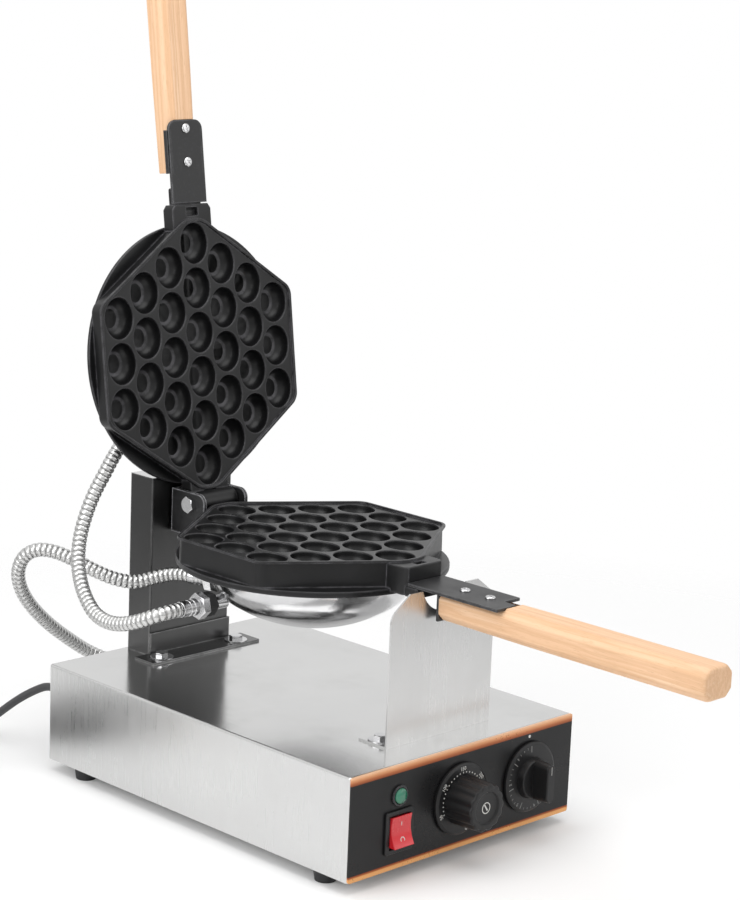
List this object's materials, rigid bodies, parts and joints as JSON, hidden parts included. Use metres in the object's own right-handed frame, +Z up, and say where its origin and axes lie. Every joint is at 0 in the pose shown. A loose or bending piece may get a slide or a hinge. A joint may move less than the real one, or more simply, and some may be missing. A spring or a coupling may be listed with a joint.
{
  "type": "rotating waffle maker",
  "caption": "Countertop waffle maker: hinged lid over a turning round-cell mould, steel base with controls, column, wooden handles.",
  "frame": {"origin": "middle of the object's box without the mains lead, at the level of the feet", "axes": "+Z up, the control panel faces -Y, the lid opens towards +Y"},
  "size_m": [0.4064, 0.7197, 0.7563],
  "materials": {
    "stainless_sheet": "brushed sheet, satin",
    "polished_steel": "polished",
    "conduit_steel": "bright ribbed hose",
    "mould_coating": "non-stick coating, satin black, on cast aluminium",
    "black_steel": "black enamel, worn edges",
    "fascia_black": "black panel with copper bands",
    "knob_black": "satin phenolic",
    "nut_black": "moulded nylon",
    "shaft_brass": "turned",
    "bronze_bush": "turned",
    "switch_red": "gloss",
    "lamp_chrome": "dark ring",
    "lamp_green": "green lens",
    "bell_steel": "pressed",
    "ceramic": "unglazed ceramic",
    "element_steel": "oxidised tube",
    "beech": "sanded beech",
    "foot_rubber": "moulded rubber",
    "cord_rubber": "dark grey sheath",
    "tie_plastic": "strap"
  },
  "bodies": {
    "base": {"base_cover": "stainless_sheet", "floor_plate": "stainless_sheet", "rubber_feet": "foot_rubber", "feet_screws": "polished_steel", "control_fascia": "fascia_black", "indicator_bezel": "lamp_chrome", "indicator_lens": "lamp_green", "rocker_housing": "knob_black", "thermostat_body": "knob_black", "timer_body": "knob_black", "timer_bell": "bell_steel", "terminal_block": "ceramic", "rear_column": "stainless_sheet", "column_back": "stainless_sheet", "column_foot": "stainless_sheet", "column_bolts": "polished_steel", "base_nuts": "polished_steel", "column_bush": "bronze_bush", "front_rest": "stainless_sheet", "rest_bolts": "polished_steel", "base_fitting": "polished_steel", "base_lock_nut": "nut_black", "conduit_base": "conduit_steel", "cord_gland": "nut_black", "power_cord": "cord_rubber", "cord_coil": "cord_rubber", "cord_tie": "tie_plastic", "plug": "cord_rubber", "plug_blades": "shaft_brass"},
    "switch": {"rocker_button": "switch_red"},
    "thermostat": {"thermostat_knob": "knob_black", "thermostat_shaft": "shaft_brass"},
    "timer": {"timer_knob": "knob_black", "timer_shaft": "shaft_brass"},
    "turning_half": {"turn_shaft": "polished_steel", "turn_washer": "polished_steel", "turn_nut": "polished_steel", "hinge_bracket": "black_steel", "hinge_pin": "polished_steel", "hinge_nut": "polished_steel", "lower_mould": "mould_coating", "lower_bowl": "polished_steel", "lower_bowl_screws": "polished_steel", "lower_element": "element_steel", "lower_strip": "black_steel", "lower_strip_screws": "polished_steel", "lower_handle": "beech", "bowl_fittings": "polished_steel", "bowl_lock_nuts": "nut_black", "conduit_lid": "conduit_steel"},
    "lid": {"upper_mould": "mould_coating", "upper_bowl": "polished_steel", "upper_bowl_screws": "polished_steel", "upper_element": "element_steel", "upper_strip": "black_steel", "upper_strip_screws": "polished_steel", "upper_handle": "beech", "lid_fitting": "polished_steel", "lid_lock_nut": "nut_black"}
  },
  "joints": [
    {"name": "mould_turn", "type": "hinge", "parent": "base", "child": "turning_half", "pos_m": [0.011, 0.0815, 0.22], "axis": [0, 1, 0], "range_deg": [-90, 90], "deforming": ["conduit_base"]},
    {"name": "lid_hinge", "type": "hinge", "parent": "turning_half", "child": "lid", "pos_m": [0.011, 0.2035, 0.228], "axis": [1, 0, 0], "range_deg": [0, 97.92], "deforming": ["conduit_lid"]},
    {"name": "switch_rock", "type": "hinge", "parent": "base", "child": "switch", "pos_m": [-0.0625, -0.0985, 0.0405], "axis": [1, 0, 0], "range_deg": [0, 16]},
    {"name": "thermostat_turn", "type": "hinge", "parent": "base", "child": "thermostat", "pos_m": [0.0045, -0.0995, 0.051], "axis": [0, 1, 0], "range_deg": [0, 270]},
    {"name": "timer_turn", "type": "hinge", "parent": "base", "child": "timer", "pos_m": [0.0845, -0.0995, 0.051], "axis": [0, 1, 0], "range_deg": [0, 300]}
  ]
}
